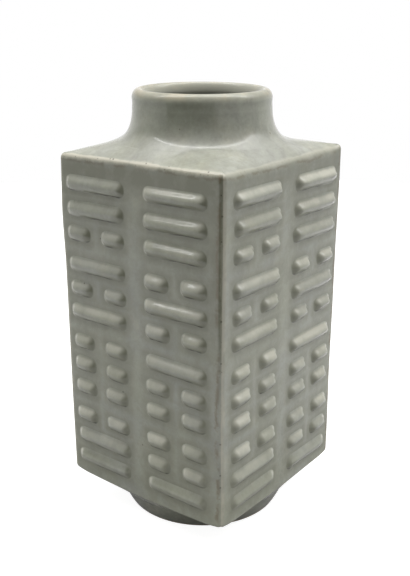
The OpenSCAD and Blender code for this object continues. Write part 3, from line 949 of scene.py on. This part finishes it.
def glaze_material(name, wear=(), pooled_and_shaded=False, bar=False, rim=False, standing=False, tone=None):
    """The celadon glaze with what each piece shows of it: glaze pools and painted shade round the bars;
    pale crowns of thinner glaze with painted highlight, and crevices of painted shade on them; worn
    arrises; a worn rim, with painted light high inside the mouth and painted shade lower down; or a bare
    edge."""
    material, tree, shader, place = start_material(name)
    height = add(tree, "ShaderNodeSeparateXYZ", {"Vector": place}).outputs["Z"]
    tone = dict(tone or {})
    if rim:
        rise = span(tree, height, NECK_SEAT_Z, NECK_SEAT_Z + NECK_TONE_H)
        tone = {key: blend_colour(tree, rise, SHOULDER_TONE[key], tone[key]) for key in tone}
    clouds = use_group(tree, "clouds", {"Place": place, **tone})
    colour = clouds.outputs["Color"]
    if pooled_and_shaded:
        # Glaze pooling and painted shade on the walls
        share = span(tree, noise(tree, place, 90.0, 3.0, 0.6), 0.3, 0.7, 0.5, 1.0)
        colour = lay_over(tree, colour, point_value(tree, "pool_and_shade"), share, POOLED_AND_SHADE)
    if bar:
        # On the bars, glaze pooling with painted shade below, thinner glaze with painted highlight above
        share = span(tree, noise(tree, place, 110.0, 3.0, 0.6), 0.3, 0.7, 0.5, 0.95)
        colour = blend_colour(tree, point_value(tree, "pooled_and_shaded"), colour, POOLED_AND_SHADE)
        colour = lay_over(tree, colour, point_value(tree, "thin"), share, THIN_AND_HIGHLIGHT)
    for distance, sign, crest_share, crest_w, line_share, line_at, line_w in wear:
        from_edge = calc(tree, "MULTIPLY", point_value(tree, distance), sign)
        inputs = {"Place": place, "Distance": from_edge, "Crest Width": crest_w}
        worn = use_group(tree, "wear", {**inputs, "Line At": line_at, "Line Width": line_w})
        colour = lay_over(tree, colour, worn.outputs["Line"], line_share, BROWN)
        dot_share = EDGE_DOT_SHARE
        if distance == "arris_mm":
            how_worn = point_value(tree, "worn")
            crest_share = calc(tree, "MULTIPLY", how_worn, crest_share)
            dot_share = calc(tree, "MULTIPLY", calc(tree, "POWER", how_worn, 2.0), ARRIS_DOT_SHARE)
        colour = lay_over(tree, colour, worn.outputs["Crest"], crest_share, CREAM)
        near = span(tree, calc(tree, "ABSOLUTE", from_edge), 0.5, 2.6, dot_share, 0.0)
        dots = use_group(tree, "specks", {"Place": place, **EDGE_DOTS})
        colour = lay_over(tree, colour, dots.outputs["Mask"], near, IRON)
    if bar:
        # Painted shade in the bars' crevices
        colour = lay_over(tree, colour, point_value(tree, "crevice_shade"), CREVICE_SHADE_SHARE, CREVICE_SHADE)
    if rim:
        lip = span(tree, height, RIM_Z - LIP_BUFF_FROM, RIM_Z - LIP_BUFF_FULL)
        patch = span(tree, noise(tree, place, 48.0, 4.0, 0.65), 0.42, 0.62, 0.25, 0.9)
        colour = lay_over(tree, colour, lip, patch, LIP_BUFF)
        level = vector_calc(tree, "MULTIPLY", place, (1, 1, 0))
        radius = vector_calc(tree, "LENGTH", level, output="Value")
        crest_r = NECK_R - LIP_OUTER_W
        inside = span(tree, radius, crest_r - MOUTH_EDGE_W, crest_r, 1.0, 0.0)
        # Painted light high inside the mouth
        colour = lay_over(tree, colour, inside, MOUTH_LIGHT_SHARE, THIN_AND_HIGHLIGHT)
        # Painted shade lower inside the mouth
        full, none = RIM_Z - MOUTH_SHADE_FULL, RIM_Z - MOUTH_SHADE_FROM
        deep_shade = span(tree, height, full, none, MOUTH_SHADE_SHARE, 0.0)
        colour = lay_over(tree, colour, inside, deep_shade, MOUTH_SHADE)
    if standing:
        stray = calc(tree, "MULTIPLY", noise(tree, place, 120.0, 2.0), 1.2 * MM)
        bare = span(tree, calc(tree, "SUBTRACT", height, stray), 0.3 * MM, 0.9 * MM, 1.0, 0.0)
        colour = blend_colour(tree, bare, colour, CLAY)
    specks = use_group(tree, "specks", {"Place": place})
    colour = lay_over(tree, colour, specks.outputs["Mask"], SPECK_SHARE, IRON)
    join_shader(tree, shader, place, colour, clouds.outputs["Roughness"], GLAZE_WAVES)
    return material


def seam_material():
    """The coils inside the corners: clay under a wash of glaze, thinly laid."""
    material, tree, shader, place = start_material("seam_clay")
    clouds = use_group(tree, "clouds", {"Place": place, "Grey": COIL_GREY, "Grain": 0.12})
    join_shader(tree, shader, place, clouds.outputs["Color"], clouds.outputs["Roughness"], COIL_WAVES)
    return material


def dress(piece, material, slot, *nodes):
    """Gives a new piece its finish and its body, and hides the nodes it stands for. slot is not used."""
    piece.data.materials.clear()
    piece.data.materials.append(material)
    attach(piece, "root")
    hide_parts(*nodes)


wall_glaze = glaze_material("wall_glaze", wear=WALL_WEAR, pooled_and_shaded=True)
neck_glaze = glaze_material("neck_glaze", rim=True, tone=NECK_TONE)
shoulder_glaze = glaze_material("shoulder_glaze", wear=SHOULDER_WEAR, tone=SHOULDER_TONE)
# Base and foot use the darker tone: painted shade under the body
base_glaze = glaze_material("base_glaze", tone=FOOT_SHADE_TONE)
foot_glaze = glaze_material("foot_glaze", standing=True, tone=FOOT_SHADE_TONE)
bar_glaze = glaze_material("bar_glaze", bar=True)
seam_clay = seam_material()

for side in range(4):
    dress(build_wall(side), wall_glaze, "celadon_glaze", SIDES[side] + "_wall")
dress(build_shoulder(), shoulder_glaze, "celadon_glaze", "shoulder")
dress(build_neck(), neck_glaze, "celadon_glaze", "neck")
dress(build_base(), base_glaze, "celadon_glaze", "base")
dress(build_foot_ring(), foot_glaze, "foot_glaze", "foot_ring")
for side in range(4):
    for trigram in TRIGRAMS:
        node_name = SIDES[side] + "_trigram_" + trigram
        dress(build_trigram(side, trigram), bar_glaze, "relief_glaze", node_name)
for name, node in frame["nodes"].items():
    if name.endswith("_seam_coil"):
        node.data.materials.clear()
        node.data.materials.append(seam_clay)

# Floor, studio and lights

FLOOR_R = 1.2
FLOOR_FRONT_R = 0.45
FLOOR_RINGS = 12
FLOOR_SPOKES = 72
FLOOR_MATT = (0.45, 0.45, 0.446, 1)
FLOOR_WHITE = 0.9
WHITE = (1, 1, 1, 1)


def build_floor():
    """A floor that reaches less far past the front corner: rings of points from the middle to its edge."""
    angle = np.linspace(0, 2 * math.pi, FLOOR_SPOKES, endpoint=False)
    ahead = np.cos(angle) * FRONT_CORNER[0] + np.sin(angle) * FRONT_CORNER[1]
    ahead = np.clip(1.6 * ahead, 0, 1) ** 2
    reach = FLOOR_R + (FLOOR_FRONT_R - FLOOR_R) * ahead
    radius = np.linspace(0.02, 1, FLOOR_RINGS)[:, None] * reach
    points = np.stack([radius * np.cos(angle), radius * np.sin(angle), 0 * radius], -1)
    quads = grid_quads(FLOOR_RINGS, FLOOR_SPOKES, True)[:, ::-1]
    i = np.arange(FLOOR_SPOKES // 2 - 1)
    j = FLOOR_SPOKES - 1 - i
    heart = np.stack([i, i + 1, j - 1, j], -1)
    floor = make_piece("floor", points.reshape(-1, 3), np.concatenate([quads, heart]))
    return floor


def seen_directly(tree, mirror_share):
    """1 for camera rays and clear rays, which see the white ground, and a share for mirror rays."""
    path = add(tree, "ShaderNodeLightPath")
    first = calc(tree, "MAXIMUM", path.outputs["Is Camera Ray"], path.outputs["Is Transmission Ray"])
    mirror = calc(tree, "MULTIPLY", path.outputs["Is Glossy Ray"], mirror_share)
    return calc(tree, "MAXIMUM", first, mirror)


def floor_material():
    """Pale floor that reads as white, with some plain diffuse that keeps the shadow. Mirror rays see less
    of
    its white near the vase: a painted shadow in what the glaze mirrors.
    """
    material = bpy.data.materials.new("pale_floor")
    material.use_nodes = True
    tree = material.node_tree
    tree.nodes.clear()
    end = tree.nodes.new("ShaderNodeOutputMaterial")
    place = add(tree, "ShaderNodeTexCoord").outputs["Object"]
    distance = vector_calc(tree, "LENGTH", place, output="Value")
    # Painted shadow: mirror rays see less white near the vase
    seen = seen_directly(tree, span(tree, distance, 0.06, 0.34, 0.15, 0.72))
    matt = add(tree, "ShaderNodeBsdfDiffuse", {"Color": FLOOR_MATT})
    white = add(tree, "ShaderNodeEmission", {"Color": WHITE, "Strength": FLOOR_WHITE})
    both = add(tree, "ShaderNodeAddShader", {0: matt.outputs[0], 1: white.outputs[0]})
    mixed = add(tree, "ShaderNodeMixShader", {0: seen, 1: matt.outputs[0], 2: both.outputs[0]})
    tree.links.new(mixed.outputs[0], end.inputs["Surface"])
    return material


build_floor().data.materials.append(floor_material())

# Level directions in the studio, and along two of them the glow overhead: its middle, full to, none from
STUDIO_DARK = (0.342, -0.940, 0)
STUDIO_FRONT = (0.438, -0.899, 0)
STUDIO_BACK = (-0.616, 0.787, 0)
STUDIO_RIGHT = (0.787, 0.616, 0)
GLOW_TILTS = ((STUDIO_RIGHT, 0.4, 0.6, 1.9), (STUDIO_BACK, 0.22, 0.05, 0.60))
GLOW_LEVEL = 2.7
MIRROR_SHARE = 0.85


def build_world():
    """A studio that the camera sees as white. Its light is low near the ground and stronger higher up, with
    a soft glow overhead. It falls off towards the front, where mirror rays find no white either."""
    world = bpy.data.worlds.new("studio")
    scene.world = world
    world.use_nodes = True
    tree = world.node_tree
    tree.nodes.clear()
    end = tree.nodes.new("ShaderNodeOutputWorld")
    way = add(tree, "ShaderNodeTexCoord").outputs["Generated"]
    height = add(tree, "ShaderNodeSeparateXYZ", {"Vector": way}).outputs["Z"]
    ahead = vector_calc(tree, "DOT_PRODUCT", way, STUDIO_DARK, "Value")
    off_front = span(tree, ahead, 0.735, 0.765, 1.0, 0.0)
    pale = calc(tree, "MULTIPLY", off_front, span(tree, height, 0.05, 0.35, 1.0, 0.0))
    level_way = vector_calc(tree, "NORMALIZE", vector_calc(tree, "MULTIPLY", way, (1, 1, 0)))
    front = vector_calc(tree, "DOT_PRODUCT", level_way, STUDIO_FRONT, "Value")
    low = span(tree, front, 0.1, 0.95, 0.42, 0.04)
    middle = span(tree, front, -0.2, 1.0, 0.84, 0.37)
    rise = span(tree, height, 0.2, 0.5)
    level = add(tree, "ShaderNodeMix", {0: rise, 2: low, 3: middle}).outputs[0]
    level = add(tree, "ShaderNodeMix", {0: span(tree, height, 0.72, 0.92), 2: level, 3: 1.0}).outputs[0]
    glow = span(tree, height, 0.25, 0.5, 0.0, GLOW_LEVEL)
    for axis, middle_at, full_to, none_from in GLOW_TILTS:
        along = vector_calc(tree, "DOT_PRODUCT", way, axis, "Value")
        tilt = calc(tree, "DIVIDE", along, calc(tree, "MAXIMUM", height, 0.05))
        off = calc(tree, "ABSOLUTE", calc(tree, "SUBTRACT", tilt, middle_at))
        glow = calc(tree, "MULTIPLY", glow, span(tree, off, full_to, none_from, 1.0, 0.0))
    level = calc(tree, "ADD", level, glow)
    fill = add(tree, "ShaderNodeBackground", {"Color": WHITE, "Strength": level})
    white = add(tree, "ShaderNodeBackground", {"Color": WHITE, "Strength": 1.0})
    seen = seen_directly(tree, calc(tree, "MULTIPLY", pale, MIRROR_SHARE))
    mixed = add(tree, "ShaderNodeMixShader", {0: seen, 1: fill.outputs[0], 2: white.outputs[0]})
    tree.links.new(mixed.outputs[0], end.inputs["Surface"])


build_world()

# A long area light that shines straight down
strip = bpy.data.lights.new("top_strip", "AREA")
strip.shape = "RECTANGLE"
strip.size = 2.8
strip.size_y = 0.08
strip.energy = 5.0
lamp = bpy.data.objects.new("top_strip", strip)
lamp.location = (0.06, 0.085, 1.25)
lamp.rotation_euler.z = math.radians(37.9)
scene.collection.objects.link(lamp)

# Camera for the 410 by 576 frame
EYE = Vector((0.33327, -0.42580, 0.32364))
LOOK = Vector((-0.5846, 0.7507, -0.3077))
lens = bpy.data.cameras.new("camera")
lens.lens = 53.24
lens.sensor_width = 36.0
camera = bpy.data.objects.new("camera", lens)
camera.location = EYE
camera.rotation_mode = "QUATERNION"
camera.rotation_quaternion = LOOK.to_track_quat("-Z", "Y")
scene.collection.objects.link(camera)
scene.camera = camera
scene.view_settings.view_transform = "Standard"

bpy.context.view_layer.update()
